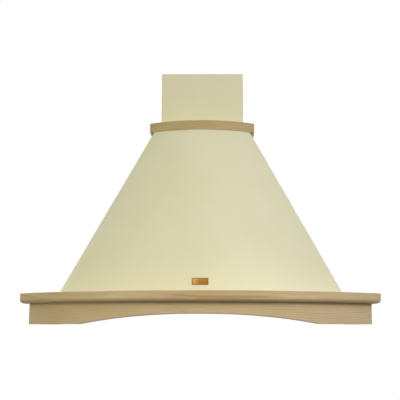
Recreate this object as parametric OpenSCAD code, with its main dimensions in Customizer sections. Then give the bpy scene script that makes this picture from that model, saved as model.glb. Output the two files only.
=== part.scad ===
// Wall-mounted range hood: a bow-fronted steel dome on a wooden cornice shelf, with a chimney cover
// that slides up out of the neck. Millimetres. X runs along the wall, Y points into the wall, Z is up.
// The origin is on the wall plane, in the middle of the steel back's lower edge.

/* [Cornice shelf] */
// Width of the cornice shelf along the wall
cornice_w = 900; // [870:5:930]
// Depth of the cornice shelf, from the wall to the middle of its bow
cornice_d = 500; // [485:5:520]
// How far the bow swells past the front corners
cornice_bow = 180; // [160:5:200]
// Thickness of the cornice boards
cornice_t = 25; // [18:1:30]
// Radius of the cornice's rounded lower edge
cornice_round = 12; // [6:1:16]

/* [Apron] */
// Height of the apron boards under the cornice
apron_h = 51; // [50:1:60]
// Thickness of the apron boards
apron_t = 18; // [14:1:22]
// How far the cornice overhangs the apron
apron_inset = 22; // [18:0.5:26]
// How far the apron reaches below the steel base
apron_drop = 38; // [34:1:40]
// Rise of the arch cut into the front apron
arch_rise = 22.5; // [14:0.5:28]
// Span of the arch
arch_span = 562; // [480:2:600]

/* [Dome] */
// Shelf left round the foot of the dome
dome_margin = 87.5; // [80:0.5:92]
// Height of the dome, from the cornice to the neck
dome_h = 434; // [414:2:464]
// Room between the chimney cover and the neck on each side
neck_side = 18; // [14:0.5:24]
// Room between the chimney cover and the neck's front corners
neck_front = 22; // [16:0.5:28]
// How far the neck's front swells past its corners
neck_bow = 32.5; // [26:0.5:38]
// Thickness of the steel sheet
sheet = 1; // [0.8:0.1:1.5]
// Width of the dome's return flanges at the wall
return_w = 12; // [8:1:14]

/* [Neck ring] */
// Height of the wooden ring at the neck
ring_h = 24.5; // [18:0.5:32]
// How far the ring's front stands out from the neck
ring_lead = 2; // [1:0.5:4]
// How far the ring's sides stand out from the neck
ring_over = 10.5; // [8:0.5:14]
// Radius of the ring's rounded edges
ring_round = 3; // [1:0.5:5]

/* [Chimney cover] */
// Width of the chimney cover
chimney_w = 223; // [212:1:230]
// Depth of the chimney cover, from the wall
chimney_d = 211; // [205:1:220]
// Length of the chimney cover
chimney_l = 379; // [340:1:460]
// Gap between the chimney cover's rear edges and the wall
chimney_rear = 2.8; // [2.6:0.1:4]
// Width of the chimney cover's rear returns
chimney_return = 20; // [12:1:26]

/* [Wall fixing] */
// Distance between the wall screws along the wall
wall_dx = 360; // [320:5:400]
// Distance between the wall screws upwards
wall_dz = 180; // [140:5:200]
// Height of the lower wall screws
wall_z = 120; // [100:5:140]
// Radius of the wall screw holes
wall_hole_r = 4; // [3:0.5:5]

/* [Grease filters] */
// Width of one filter cassette
filter_w = 268; // [240:2:276]
// Distance of the cassettes' front edge from the middle of the bow
filter_front = 194; // [190:2:214]
// Thickness of a filter cassette
filter_t = 9; // [7:0.5:12]
// Width of the cassette's folded border
filter_border = 14; // [12:1:20]
// Distance from the wall to the cassettes' rear edge
filter_rear = 36; // [30:1:44]
// Width of the steel rib between the two cassettes
filter_rib = 10; // [10:1:16]
// Radius of the hinge rod at a cassette's rear edge
rod_r = 2; // [1.5:0.25:2.5]

/* [Lamps and switches] */
// Distance of each lamp from the cornice's end
lamp_side = 280; // [250:5:310]
// Room between the lamps and the dome's skirt
lamp_gap = 2; // [1.5:0.5:8]
// Radius of the lamp's glass
lamp_r = 25; // [20:1:27]
// Distance of the switch block from the middle of the bow
switch_front = 128; // [115:1:135]
// Width of a push button
button_w = 12; // [9:0.5:14]
// Distance between neighbouring push buttons
button_pitch = 20; // [17:0.5:22]
// How far a push button stands proud and travels
button_travel = 3; // [2:0.5:4]

/* [Blower] */
// Distance of the fan's axis from the wall
fan_y = 150; // [145:1:155]
// Height of the fan's axis
fan_z = 145; // [135:1:155]
// Outer radius of the fan wheel
fan_r = 72; // [64:1:74]
// Length of the fan wheel
fan_l = 136; // [120:2:138]
// Blades on each side of the wheel
fan_blades = 36; // [24:2:42]
// Width of the scroll casing along the shaft
scroll_w = 150; // [148:2:160]
// Wall of the scroll casing
scroll_wall = 2; // [1.5:0.5:3]
// Radius of the scroll where its spiral starts
scroll_r0 = 80; // [79:1:84]
// Radius of the scroll where its spiral ends
scroll_r1 = 115; // [108:1:116]
// Height of the scroll's outlet above the fan's axis
outlet_h = 117; // [110:1:125]
// Radius of the motor
motor_r = 45; // [38:1:46]
// Radius of the motor shaft
shaft_r = 4; // [3:0.5:5]

/* [Duct collar] */
// Outer radius of the duct collar
collar_r = 75; // [70:0.5:76]
// Height of the duct collar above the blower deck
collar_h = 42; // [32:1:50]
// Wall of the duct collar
collar_wall = 2; // [1.5:0.5:3]
// Height of the flap pin above the blower deck
flap_up = 16; // [14:1:20]
// Radius of the flap pin
flap_pin_r = 2; // [1.5:0.25:2.5]

/* [Hidden] */

$fn = 64;
arc_fn = 360;
eps = 0.01;

// Clearances
wood_fit = 0.5;
slide_fit = 0.8;
run_fit = 0.05;
press_gap = 0.02;
rest_gap = 0.3;
swing_gap = 2;

// Colours
cream = [0.87, 0.84, 0.71];
beech = [0.75, 0.66, 0.48];
beech_dark = [0.70, 0.61, 0.43];
steel = [0.72, 0.73, 0.74];
zinc = [0.62, 0.64, 0.66];
brass = [0.78, 0.60, 0.28];
black = [0.12, 0.12, 0.13];

// Plan lines: the bow of the cornice and the bow of the neck are arcs about their own centres
cornice_r = bow_radius(cornice_w / 2, cornice_bow);
cornice_cy = cornice_r - cornice_d;
neck_w = chimney_w + 2 * neck_side;
neck_d = chimney_d + neck_front + neck_bow;
neck_r = bow_radius(neck_w / 2, neck_bow);
neck_cy = neck_r - neck_d;

// Levels
cornice_z = apron_h - apron_drop;
foot_z = cornice_z + cornice_t;
neck_z = foot_z + dome_h;
ring_z = neck_z + sheet;
deck_t = 1.5;
deck_z = fan_z + outlet_h;
deck_top = deck_z + deck_t;
chimney_z = deck_top + rest_gap;

// Insets of the plan lines from the cornice's edge
apron_in = apron_inset + apron_t;
pan_gap = 3.5;
pan_inset = apron_in + pan_gap;
foot_half = cornice_w / 2 - dome_margin;

// Filters
filter_l = cornice_d - filter_front - filter_rear;
filter_x = filter_rib / 2 + swing_gap + filter_w / 2;
filter_z = -0.5;
rod_in = 4;
rod_y = -filter_rear - rod_in;
rod_z = filter_z + filter_t / 2;
hook_t = 2.5;
rod_end = 0.6;
rod_over = swing_gap + hook_t + rod_end;
latch_w = 30;
latch_l = 18;
latch_t = 4;
latch_z = sheet + rest_gap;
tongue_w = 20;
tongue_grip = 4;
tongue_l = tongue_grip + swing_gap;
latch_travel = 6;

// Blower
tongue_deg = 60;
outlet_lip = 12;
outlet_back = scroll_r1;
outlet_front = -30;
collar_y = -fan_y + (outlet_back + outlet_front) / 2;
inlet_r = fan_r * 0.78;
motor_x0 = 12;
motor_out = 15;
motor_x1 = scroll_w / 2 + motor_out;

function bow_radius(half_w, bow) = (half_w * half_w + bow * bow) / (2 * bow);
function arc_y(x, r, cy) = cy - sqrt(r * r - x * x);
function cornice_corner(inset) =
    [cornice_w / 2 - inset, arc_y(cornice_w / 2 - inset, cornice_r - inset, cornice_cy)];

// Plan shapes
module bow_plan(half_w, r, cy, rear) {
    intersection() {
        translate([0, cy]) circle(r = r, $fn = arc_fn);
        translate([-half_w, cy - r - 1]) square([2 * half_w, r + 1 - cy + rear]);
    }
}
module cornice_plan(inset, rear = 0) {
    bow_plan(cornice_w / 2 - inset, cornice_r - inset, cornice_cy, rear);
}
module neck_plan(grow, rear = 0) {
    bow_plan(neck_w / 2 + grow, neck_r + grow, neck_cy, rear);
}
module slab(z0, z1) {
    translate([0, 0, z0]) linear_extrude(z1 - z0) children();
}

// Everything in front of the two mitre lines through the corners
module front_wedge(out, in) {
    step = out - in;
    apex_y = in.y - step.y * in.x / step.x;
    far = out + 2 * step;
    polygon([
        [0, apex_y], far, [far.x, -2 * cornice_d], [-far.x, -2 * cornice_d], [-far.x, far.y]
    ]);
}
// A board's section, its outer edge at x = w, with the named corners rounded
module board_section(w, t, low, high) {
    difference() {
        square([w, t]);
        if (low > 0) translate([w, 0]) corner_cut(low);
        if (high > 0) translate([w, t]) mirror([0, 1]) corner_cut(high);
    }
}
module corner_cut(r) {
    difference() {
        translate([-r, -1]) square([r + 1, r + 1]);
        translate([-r, r]) circle(r = r);
    }
}
// A section swept along a bow, and the same section run back to the wall on the right side
module bow_sweep(r, cy, w, half_w) {
    half_deg = asin(half_w / r) + 3;
    translate([0, cy, 0]) rotate([0, 0, -90 - half_deg])
        rotate_extrude(angle = 2 * half_deg, $fn = arc_fn) translate([r - w, 0]) children();
}
module side_run(x1, w, length) {
    translate([x1 - w, 0, 0]) rotate([90, 0, 0]) linear_extrude(length) children();
}
module mitred_front(out, in, z0, z1) {
    intersection() {
        children();
        slab(z0 - 1, z1 + 1) front_wedge(out, in);
    }
}
module mitred_side(out, in, z0, z1) {
    difference() {
        children();
        slab(z0 - 1, z1 + 1) front_wedge(out, in);
    }
}

// Cornice shelf
cornice_board = dome_margin - wood_fit;
module cornice_section() {
    board_section(cornice_board, cornice_t, cornice_round, 0);
}
module cornice_front() {
    color(beech) difference() {
        mitred_front(cornice_corner(0), cornice_corner(dome_margin), cornice_z, foot_z)
            translate([0, 0, cornice_z]) bow_sweep(cornice_r, cornice_cy, cornice_board, cornice_w / 2)
                cornice_section();
        frame_screw_places() screw_pilot();
    }
}
module cornice_right() {
    color(beech) difference() {
        mitred_side(cornice_corner(0), cornice_corner(dome_margin), cornice_z, foot_z)
            translate([0, 0, cornice_z]) side_run(cornice_w / 2, cornice_board, cornice_d)
                cornice_section();
        frame_screw_places() screw_pilot();
    }
}
module cornice_left() {
    mirror([1, 0, 0]) cornice_right();
}

// Apron under the cornice
module apron_front() {
    color(beech_dark) difference() {
        mitred_front(cornice_corner(apron_inset), cornice_corner(apron_in), -apron_drop, cornice_z)
            translate([0, 0, -apron_drop])
                bow_sweep(cornice_r - apron_inset, cornice_cy, apron_t, cornice_w / 2 - apron_inset)
                    square([apron_t, apron_h]);
        rotate([90, 0, 0]) linear_extrude(cornice_d) arch_outline();
    }
}
arch_power = 2.4;
arch_steps = 48;
module arch_outline() {
    half = arch_span / 2;
    polygon(concat(
        [[half, -apron_drop - 1], [-half, -apron_drop - 1]],
        [for (i = [0:arch_steps]) let (t = 2 * i / arch_steps - 1)
            [t * half, -apron_drop + arch_rise * (1 - pow(abs(t), arch_power))]]
    ));
}
module apron_right() {
    color(beech_dark)
        mitred_side(cornice_corner(apron_inset), cornice_corner(apron_in), -apron_drop, cornice_z)
            translate([0, 0, -apron_drop]) side_run(cornice_w / 2 - apron_inset, apron_t, cornice_d)
                square([apron_t, apron_h]);
}
module apron_left() {
    mirror([1, 0, 0]) apron_right();
}
// Glue blocks in the apron's front corners
block_w = 30;
block_l = 38;
block_drop = 6;
block_gap = 1;
module corner_blocks() {
    inner = cornice_corner(apron_in);
    front = arc_y(inner.x - block_w, cornice_r - apron_in, cornice_cy);
    color(beech_dark) for (side = [0, 1]) mirror([side, 0, 0])
        slab(-apron_drop + block_drop, -rest_gap)
            polygon([inner + [0, block_l], inner + [0, block_gap], [inner.x - block_w, front + block_gap]]);
}

// Screws that hold the wooden frame down on the dome's flange
frame_screw_r = 2;
frame_screw_inset = (dome_margin + pan_inset) / 2;
frame_screw_deg = 26;
side_screw_y = [90, 250];
module frame_screw_places() {
    for (deg = [-frame_screw_deg, -frame_screw_deg / 3, frame_screw_deg / 3, frame_screw_deg])
        translate([0, cornice_cy, 0]) rotate([0, 0, deg])
            translate([0, frame_screw_inset - cornice_r, cornice_z]) children();
    for (x = [-1, 1], y = side_screw_y)
        translate([x * (cornice_w / 2 - frame_screw_inset), -y, cornice_z]) children();
}
frame_screw_l = 14;
frame_head_r = 4;
frame_head_h = 2;
module screw_pilot() {
    translate([0, 0, -2 * sheet])
        cylinder(r = frame_screw_r + press_gap, h = frame_screw_l + 2 * sheet + 1);
}
module wood_screw() {
    translate([0, 0, -sheet]) cylinder(r = frame_screw_r, h = frame_screw_l + sheet);
    translate([0, 0, -sheet - frame_head_h]) cylinder(r = frame_head_r, h = frame_head_h);
}
module frame_screws() {
    color(zinc) frame_screw_places() wood_screw();
}

// Neck ring, standing on the neck plate
ring_gap = 3;
chimney_slot = chimney_w / 2 + ring_gap;
ring_reach = 80;
module ring_section(w) {
    board_section(w, ring_h, ring_round, ring_round);
}
module ring_trim() {
    difference() {
        children();
        slab(ring_z - 1, ring_z + ring_h + 1) chimney_hole(ring_gap);
        ring_screw_places() screw_pilot();
    }
}
module chimney_hole(gap) {
    translate([-chimney_w / 2 - gap, -chimney_d - gap]) square([chimney_w + 2 * gap, chimney_d + gap + 1]);
}
ring_half = neck_w / 2 + ring_over;
ring_r = neck_r + ring_lead;
function ring_out() = [ring_half, arc_y(ring_half, ring_r, neck_cy)];
function ring_in() = [chimney_slot, -chimney_d - ring_gap];
module ring_front() {
    color(beech) ring_trim() mitred_front(ring_out(), ring_in(), ring_z, ring_z + ring_h)
        translate([0, 0, ring_z])
            bow_sweep(ring_r, neck_cy, ring_reach, ring_half) ring_section(ring_reach);
}
module ring_right() {
    w = ring_half - chimney_slot + ring_gap;
    color(beech) ring_trim() mitred_side(ring_out(), ring_in(), ring_z, ring_z + ring_h)
        translate([0, 0, ring_z]) side_run(ring_half, w, neck_d) ring_section(w);
}
module ring_left() {
    mirror([1, 0, 0]) ring_right();
}
// Screws that hold the ring down, driven up through the neck plate
ring_screw_x = (chimney_w + neck_w) / 4;
ring_screw_y = [60, 170];
ring_screw_front = chimney_d + (neck_front + neck_bow) * 0.45;
module ring_screw_places() {
    for (side = [-1, 1]) {
        translate([side * neck_w / 4, -ring_screw_front, ring_z]) children();
        for (y = ring_screw_y) translate([side * ring_screw_x, -y, ring_z]) children();
    }
}
module ring_screws() {
    color(zinc) ring_screw_places() wood_screw();
}

// Dome shell: a developable sheet from the wide foot to the narrow neck
module dome_form(inset, rear) {
    hull() {
        slab(foot_z, foot_z + eps) cornice_plan(dome_margin + inset, rear);
        slab(neck_z - eps, neck_z) neck_plan(-inset, rear);
    }
}
module dome_shell() {
    color(cream) union() {
        difference() {
            dome_form(0, -sheet);
            dome_form(sheet, sheet);
        }
        difference() {
            slab(cornice_z - sheet, foot_z) cornice_plan(dome_margin, -sheet);
            slab(cornice_z - sheet - 1, foot_z + 1) cornice_plan(dome_margin + sheet, sheet);
        }
        difference() {
            slab(cornice_z - sheet, cornice_z) cornice_plan(pan_inset, -sheet);
            slab(cornice_z - sheet - 1, cornice_z + 1) cornice_plan(dome_margin + sheet, sheet);
            frame_screw_places() screw_pilot();
        }
        for (side = [0, 1]) mirror([side, 0, 0])
            translate([0, -sheet, 0]) rotate([90, 0, 0]) linear_extrude(sheet)
                polygon([
                    [foot_half, foot_z], [neck_w / 2, neck_z],
                    [neck_w / 2 - return_w, neck_z], [foot_half - return_w, foot_z]
                ]);
    }
}

// Plate that closes the neck round the chimney, with a guide collar under it
guide_h = 25;
module neck_plate() {
    color(cream) difference() {
        union() {
            slab(neck_z, neck_z + sheet) neck_plan(0, -sheet);
            slab(neck_z - guide_h, neck_z + sheet) intersection() {
                chimney_hole(slide_fit + sheet);
                neck_plan(-2 * sheet, -2 * sheet - rest_gap);
            }
        }
        slab(neck_z - guide_h - 1, neck_z + sheet + 1) chimney_hole(slide_fit);
        ring_screw_places() screw_pilot();
    }
}

// Steel back on the wall
module back_panel() {
    color(zinc) difference() {
        rotate([90, 0, 0]) linear_extrude(sheet) union() {
            square_between([-cornice_w / 2 + pan_inset, 0], [cornice_w / 2 - pan_inset, cornice_z - sheet]);
            square_between([-foot_half, 0], [foot_half, foot_z]);
            polygon([
                [-foot_half, foot_z], [foot_half, foot_z], [neck_w / 2, neck_z], [-neck_w / 2, neck_z]
            ]);
        }
        for (x = [-1, 1], z = [0, 1])
            translate([x * wall_dx / 2, 1, wall_z + z * wall_dz])
                rotate([90, 0, 0]) cylinder(r = wall_hole_r, h = sheet + 2);
    }
}
module square_between(low, high) {
    translate(low) square(high - low);
}

// Recessed pan that closes the underside round the filters, lamps and switches
module base_pan() {
    color(steel) difference() {
        slab(0, cornice_z - sheet) cornice_plan(pan_inset, -sheet);
        slab(sheet, cornice_z) cornice_plan(pan_inset + sheet, -2 * sheet);
        slab(-1, sheet + 1) {
            for (side = [-1, 1]) filter_opening(side);
            for (side = [-1, 1]) translate([side * lamp_x, -lamp_y]) circle(r = lamp_tube_r + rest_gap);
            translate([-button_span / 2, -switch_y - button_slot / 2]) square([button_span, button_slot]);
        }
    }
}
module filter_opening(side) {
    translate([side * filter_x - filter_w / 2 - swing_gap, -filter_rear - filter_l - swing_gap])
        square([filter_w + 2 * swing_gap, filter_l + swing_gap + opening_rear]);
}
// The rear edge of a cassette swings in this much room
opening_gap = 0.7;
opening_rear = norm([rod_in, filter_t / 2]) - rod_in + opening_gap;

// Deck that carries the blower and the duct collar
deck_edge = 6;
deck_half = chimney_w / 2 + deck_edge;
deck_front = chimney_d + deck_edge;
deck_flange = 22;
grommet_r = 7;
grommet_bore_r = 4;
grommet_lip = 2.5;
grommet_end = 3;
grommet_at = [-98, -110];
module deck_plate() {
    color(zinc) difference() {
        union() {
            slab(deck_z, deck_top) square_between([-deck_half, -deck_front], [deck_half, -sheet]);
            slab(deck_z - deck_flange, deck_top)
                square_between([-deck_half, -sheet - deck_t], [deck_half, -sheet]);
            slab(deck_z - deck_flange / 2, deck_top)
                square_between([-deck_half, -deck_front], [deck_half, -deck_front + deck_t]);
        }
        translate([0, collar_y, deck_z - 1]) cylinder(r = collar_r - collar_wall, h = deck_t + 2, $fn = 96);
        translate([grommet_at.x, grommet_at.y, deck_z - 1]) cylinder(r = grommet_r, h = deck_t + 2);
        deck_screw_places() translate([0, 0, -1]) cylinder(r = deck_screw_r + press_gap, h = deck_t + 2);
    }
}
brace_l = 130;
brace_drop = 90;
module deck_braces() {
    color(zinc) for (side = [0, 1]) mirror([side, 0, 0]) {
        translate([deck_half - deck_t, -sheet - deck_t, 0]) rotate([90, 0, 90]) linear_extrude(deck_t)
            polygon([[0, deck_z], [-brace_l, deck_z], [0, deck_z - brace_drop]]);
    }
}
deck_screw_r = 2;
deck_head_r = 3.8;
deck_head_h = 2.2;
flange_pitch = scroll_w / 2 + outlet_lip / 2;
flange_half_p = (outlet_back - outlet_front) / 2 + outlet_lip / 2;
collar_screw_out = 6;
collar_flange_w = 11;
collar_flange_r = collar_r + collar_flange_w;
screw_tip = 3;
module deck_screw_places() {
    for (x = [-1, 1], y = [-1, 1])
        translate([x * flange_pitch, collar_y + y * flange_half_p, deck_z]) children();
    for (deg = [45:90:315])
        translate([0, collar_y, deck_z]) rotate([0, 0, deg])
            translate([collar_r + collar_screw_out, 0, 0]) children();
}
module deck_screws() {
    color(zinc) for (x = [-1, 1], y = [-1, 1])
        translate([x * flange_pitch, collar_y + y * flange_half_p, deck_z - scroll_wall]) {
            cylinder(r = deck_screw_r, h = scroll_wall + deck_t + screw_tip);
            translate([0, 0, -deck_head_h]) cylinder(r = deck_head_r, h = deck_head_h);
        }
    color(zinc) for (deg = [45:90:315])
        translate([0, collar_y, deck_top + collar_wall]) rotate([0, 0, deg])
            translate([collar_r + collar_screw_out, 0, 0]) {
                translate([0, 0, -collar_wall - deck_t - screw_tip])
                    cylinder(r = deck_screw_r, h = collar_wall + deck_t + screw_tip);
                cylinder(r = deck_head_r, h = deck_head_h);
            }
}
module cable_grommet() {
    color(black) translate([grommet_at.x, grommet_at.y, deck_z]) rotate_extrude() difference() {
        square_between([grommet_bore_r, -grommet_end], [grommet_r + grommet_lip, deck_t + grommet_end]);
        square_between([grommet_r - press_gap, 0], [grommet_r + grommet_lip + 1, deck_t]);
    }
}

// Bare metal plate low on the dome's front
plate_w = 41;
plate_h = 18;
plate_t = 0.8;
plate_round = 4;
plate_rise = 25;
plate_gap = 0.05;
plate_lean = atan((cornice_d - dome_margin - neck_d) / dome_h);
module front_plate() {
    front = cornice_d - dome_margin - plate_rise * tan(plate_lean);
    color(brass) translate([0, -front, foot_z + plate_rise]) rotate([90 - plate_lean, 0, 0])
        translate([0, 0, plate_gap]) linear_extrude(plate_t) rounded_plate(plate_w, plate_h, plate_round);
}
module rounded_plate(w, h, r) {
    union() {
        square([w - 2 * r, h], center = true);
        square([w, h - 2 * r], center = true);
        for (x = [-1, 1], y = [-1, 1]) translate([x * (w / 2 - r), y * (h / 2 - r)]) circle(r = r);
    }
}

// Grease filter cassettes: folded aluminium frame, slotted face, mesh, hinge rod and latch
slot_rows = 16;
slot_cols = 3;
slot_gap = 6;
latch_cheek = 4;
latch_stop = 6;
latch_block_w = latch_w + 2 * latch_cheek;
latch_block_l = latch_l + latch_travel + latch_stop;
filter_skin = 1;
module cassette_at(side) {
    translate([side * filter_x, -filter_rear, filter_z]) children();
}
module cassette_rect(inset) {
    square_between([-filter_w / 2 + inset, -filter_l + inset], [filter_w / 2 - inset, -inset]);
}
module latch_block(grow) {
    square_between([-latch_block_w / 2 - grow, -filter_l],
        [latch_block_w / 2 + grow, -filter_l + latch_block_l + grow]);
}
module filter_frame(side) {
    color([0.80, 0.81, 0.82]) cassette_at(side) difference() {
        union() {
            difference() {
                slab(0, filter_t) cassette_rect(0);
                slab(filter_skin, filter_t - filter_skin) cassette_rect(filter_skin);
                slab(filter_t - 2 * filter_skin, filter_t + 1) cassette_rect(filter_border);
                slab(-1, filter_skin + 1) cassette_slots();
            }
            slab(0, filter_t) latch_block(0);
        }
        slab(latch_z - filter_z - rest_gap, latch_z - filter_z + latch_t + rest_gap)
            square_between([-latch_w / 2 - rest_gap, -filter_l - 1],
                [latch_w / 2 + rest_gap, -filter_l + latch_l + latch_travel + rest_gap]);
        slab(-1, latch_z - filter_z) square_between(
            [-knob_w / 2 - rest_gap, -filter_l + knob_in - rest_gap],
            [knob_w / 2 + rest_gap, -filter_l + knob_in + knob_l + latch_travel + rest_gap]);
        translate([-filter_w, -rod_in, filter_t / 2]) rotate([0, 90, 0])
            cylinder(r = rod_r + press_gap, h = 2 * filter_w);
    }
}
module cassette_slots() {
    field_w = filter_w - 2 * filter_border;
    field_l = filter_l - 2 * filter_border - latch_block_l + filter_border;
    slot_w = (field_w - (slot_cols - 1) * slot_gap) / slot_cols;
    slot_h = (field_l - (slot_rows - 1) * slot_gap) / slot_rows;
    for (i = [0:slot_cols - 1], j = [0:slot_rows - 1])
        translate([-field_w / 2 + i * (slot_w + slot_gap), -filter_border - slot_h - j * (slot_h + slot_gap)])
            square([slot_w, slot_h]);
}
mesh_wave = 12;
mesh_rise = 1.2;
mesh_gap = 0.2;
module filter_mesh(side) {
    inner_l = filter_l - 2 * filter_skin - 2 * rod_in - 2 * rest_gap;
    waves = floor(inner_l / mesh_wave);
    low = filter_skin + mesh_gap;
    high = filter_t - filter_skin - 2 * mesh_gap;
    color([0.66, 0.67, 0.68]) cassette_at(side) difference() {
        translate([-filter_w / 2 + filter_skin + rest_gap, 0, 0]) rotate([90, 0, 90])
            linear_extrude(filter_w - 2 * filter_skin - 2 * rest_gap) polygon(concat(
                [for (i = [0:2 * waves])
                    [-filter_skin - 2 * rod_in - i * inner_l / (2 * waves), high - (i % 2) * mesh_rise]],
                [for (i = [2 * waves:-1:0])
                    [-filter_skin - 2 * rod_in - i * inner_l / (2 * waves), low + ((i + 1) % 2) * mesh_rise]]
            ));
        slab(-1, filter_t + 1) latch_block(rest_gap);
    }
}
module filter_rod(side) {
    color(zinc) cassette_at(side) translate([-filter_w / 2 - rod_over, -rod_in, filter_t / 2])
        rotate([0, 90, 0]) cylinder(r = rod_r, h = filter_w + 2 * rod_over);
}
knob_w = 14;
knob_l = 5;
knob_in = 8;
knob_drop = 4;
module filter_latch(side) {
    color(zinc) cassette_at(side) union() {
        slab(latch_z - filter_z, latch_z - filter_z + latch_t)
            square_between([-latch_w / 2, -filter_l + 1], [latch_w / 2, -filter_l + latch_l]);
        slab(latch_z - filter_z, latch_z - filter_z + latch_t / 2)
            square_between([-tongue_w / 2, -filter_l - tongue_l], [tongue_w / 2, -filter_l + 2]);
        slab(-knob_drop, latch_z - filter_z + 1)
            square_between([-knob_w / 2, -filter_l + knob_in], [knob_w / 2, -filter_l + knob_in + knob_l]);
    }
}
// Open-topped hooks that carry the hinge rods
hook_half = 6;
module filter_hooks() {
    inner = filter_rib / 2 - hook_t;
    outer = filter_x + filter_w / 2 + swing_gap;
    color(zinc) for (side = [0, 1], x = [inner, outer]) mirror([side, 0, 0])
        translate([x, 0, 0]) rotate([90, 0, 90]) linear_extrude(hook_t) difference() {
            square_between([rod_y - hook_half, sheet], [rod_y + hook_half, rod_z + hook_half]);
            translate([rod_y, rod_z]) circle(r = rod_r + 2 * run_fit);
            translate([rod_y - rod_r - 2 * run_fit, rod_z]) square([2 * rod_r + 4 * run_fit, hook_half + 1]);
        }
}

// Lamps
lamp_tube_t = 2;
lamp_tube_r = lamp_r + lamp_tube_t + 1;
lamp_tube_h = 18;
lamp_rim = 5;
lamp_lip = 2.5;
lamp_glass_t = 2;
lamp_x = cornice_w / 2 - lamp_side;
lamp_reach = cornice_r - dome_margin - lamp_tube_r - lamp_gap;
lamp_y = -arc_y(lamp_x, lamp_reach, cornice_cy);
holder_t = 3;
socket_h = 16;
bulb_r = lamp_r * 0.72;
bulb_z = 4;
bulb_rim = 3;
bulb_neck_r = 6;
module lamp_at(side) {
    translate([side * lamp_x, -lamp_y, 0]) children();
}
module lamp_bezel(side) {
    color(steel) lamp_at(side) rotate_extrude(angle = 360) union() {
        difference() {
            square_between([lamp_r - lamp_tube_t, -lamp_lip], [lamp_tube_r + lamp_rim, 0]);
            translate([lamp_tube_r + lamp_rim, -lamp_lip]) corner_cut(2);
            square_between([0, -lamp_glass_t / 2], [lamp_r + rest_gap, 1]);
        }
        square_between([lamp_tube_r - lamp_tube_t, -1], [lamp_tube_r, lamp_tube_h]);
    }
}
module lamp_glass(side) {
    color([0.9, 0.95, 1, 0.5]) lamp_at(side)
        translate([0, 0, -lamp_glass_t / 2]) cylinder(r = lamp_r, h = lamp_glass_t);
}
module lamp_holders() {
    color(black) for (side = [-1, 1]) lamp_at(side) translate([0, 0, lamp_tube_h]) {
        cylinder(r = lamp_tube_r, h = holder_t);
        translate([0, 0, holder_t]) cylinder(r = lamp_r / 2, h = socket_h);
    }
}
module lamp_bulbs() {
    color([0.95, 0.93, 0.85]) for (side = [-1, 1]) lamp_at(side) rotate_extrude() union() {
        square_between([0, bulb_z], [bulb_r, bulb_z + bulb_rim]);
        intersection() {
            translate([0, bulb_z + bulb_rim]) circle(r = bulb_r);
            square_between([0, bulb_z + bulb_rim], [lamp_r, lamp_tube_h - 2]);
        }
        square_between([0, bulb_z + bulb_rim], [bulb_neck_r, lamp_tube_h]);
    }
}

// Push-button switch block
button_count = 5;
button_gap = 0.3;
button_lip = 1.25;
button_lip_t = 1.5;
button_stem = 9;
button_flange = button_w + 2 * button_lip;
button_span = (button_count - 1) * button_pitch + button_flange + 4;
button_slot = button_flange + 2;
bezel_t = 2;
bezel_w = 5;
switch_y = cornice_d - switch_front;
switch_h = 22;
module switch_bezel() {
    color(black) slab(-bezel_t, 0) difference() {
        translate([0, -switch_y]) rounded_plate(button_span + 2 * bezel_w, button_slot + 2 * bezel_w, 3);
        for (i = [1:button_count]) button_at(i) square(button_w + 2 * button_gap, center = true);
    }
}
module switch_body() {
    wall = 1.5;
    color(black) translate([0, -switch_y, sheet]) difference() {
        translate([-button_span / 2 - wall, -button_slot / 2 - wall, 0])
            cube([button_span + 2 * wall, button_slot + 2 * wall, switch_h]);
        translate([-button_span / 2, -button_slot / 2, -1])
            cube([button_span, button_slot, switch_h - wall + 1]);
    }
}
module button_at(i) {
    translate([(i - (button_count + 1) / 2) * button_pitch, -switch_y]) children();
}
module button(i) {
    color([0.85, 0.85, 0.84]) union() {
        slab(-bezel_t - button_travel, button_gap + eps) button_at(i) square(button_w, center = true);
        slab(button_gap, button_gap + button_lip_t) button_at(i) square(button_flange, center = true);
        slab(button_gap + 1, button_gap + button_stem) button_at(i) square(button_w / 2, center = true);
    }
}

// Blower: spiral casing in two halves, double-inlet wheel, motor in the right inlet
module along_x(x0, x1) {
    translate([x0, -fan_y, fan_z]) rotate([90, 0, 90]) linear_extrude(x1 - x0) children();
}
spiral_steps = 60;
function spiral_r(deg) = scroll_r0 + (scroll_r1 - scroll_r0) * (deg - tongue_deg) / (360 - tongue_deg);
module scroll_outline(grow, start_deg, top) {
    polygon(concat(
        [for (i = [0:spiral_steps]) let (deg = start_deg + (360 - start_deg) * i / spiral_steps)
            (spiral_r(deg) + grow) * [cos(deg), sin(deg)]],
        [[outlet_back + grow, top], [outlet_front - 1.8 * grow, top]]
    ));
}
module scroll_half() {
    half = scroll_w / 2;
    color([0.42, 0.44, 0.46]) difference() {
        union() {
            along_x(0, half) scroll_outline(scroll_wall, tongue_deg + 24, outlet_h);
            along_x(0, half + outlet_lip) square_between(
                [outlet_front - outlet_lip, outlet_h - scroll_wall], [outlet_back + outlet_lip, outlet_h]);
        }
        along_x(-1, half - scroll_wall) scroll_outline(0, tongue_deg, outlet_h + 1);
        along_x(half - scroll_wall - 1, half + 1) circle(r = inlet_r);
        deck_screw_places() translate([0, 0, -scroll_wall - 1])
            cylinder(r = deck_screw_r + press_gap, h = scroll_wall + 2);
    }
}
module scroll_right() {
    scroll_half();
}
module scroll_left() {
    mirror([1, 0, 0]) scroll_half();
}
ring_lip = 8;
ring_skin = 1.5;
module inlet_rings() {
    color([0.35, 0.36, 0.38]) for (side = [0, 1]) mirror([side, 0, 0])
        translate([scroll_w / 2, -fan_y, fan_z]) rotate([0, 90, 0]) rotate_extrude(angle = 360)
            translate([inlet_r + ring_lip, 0]) difference() {
                square_between([-ring_lip, 0], [0, ring_lip]);
                translate([-ring_lip - eps, ring_lip]) circle(r = ring_lip - ring_skin);
            }
}
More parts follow.
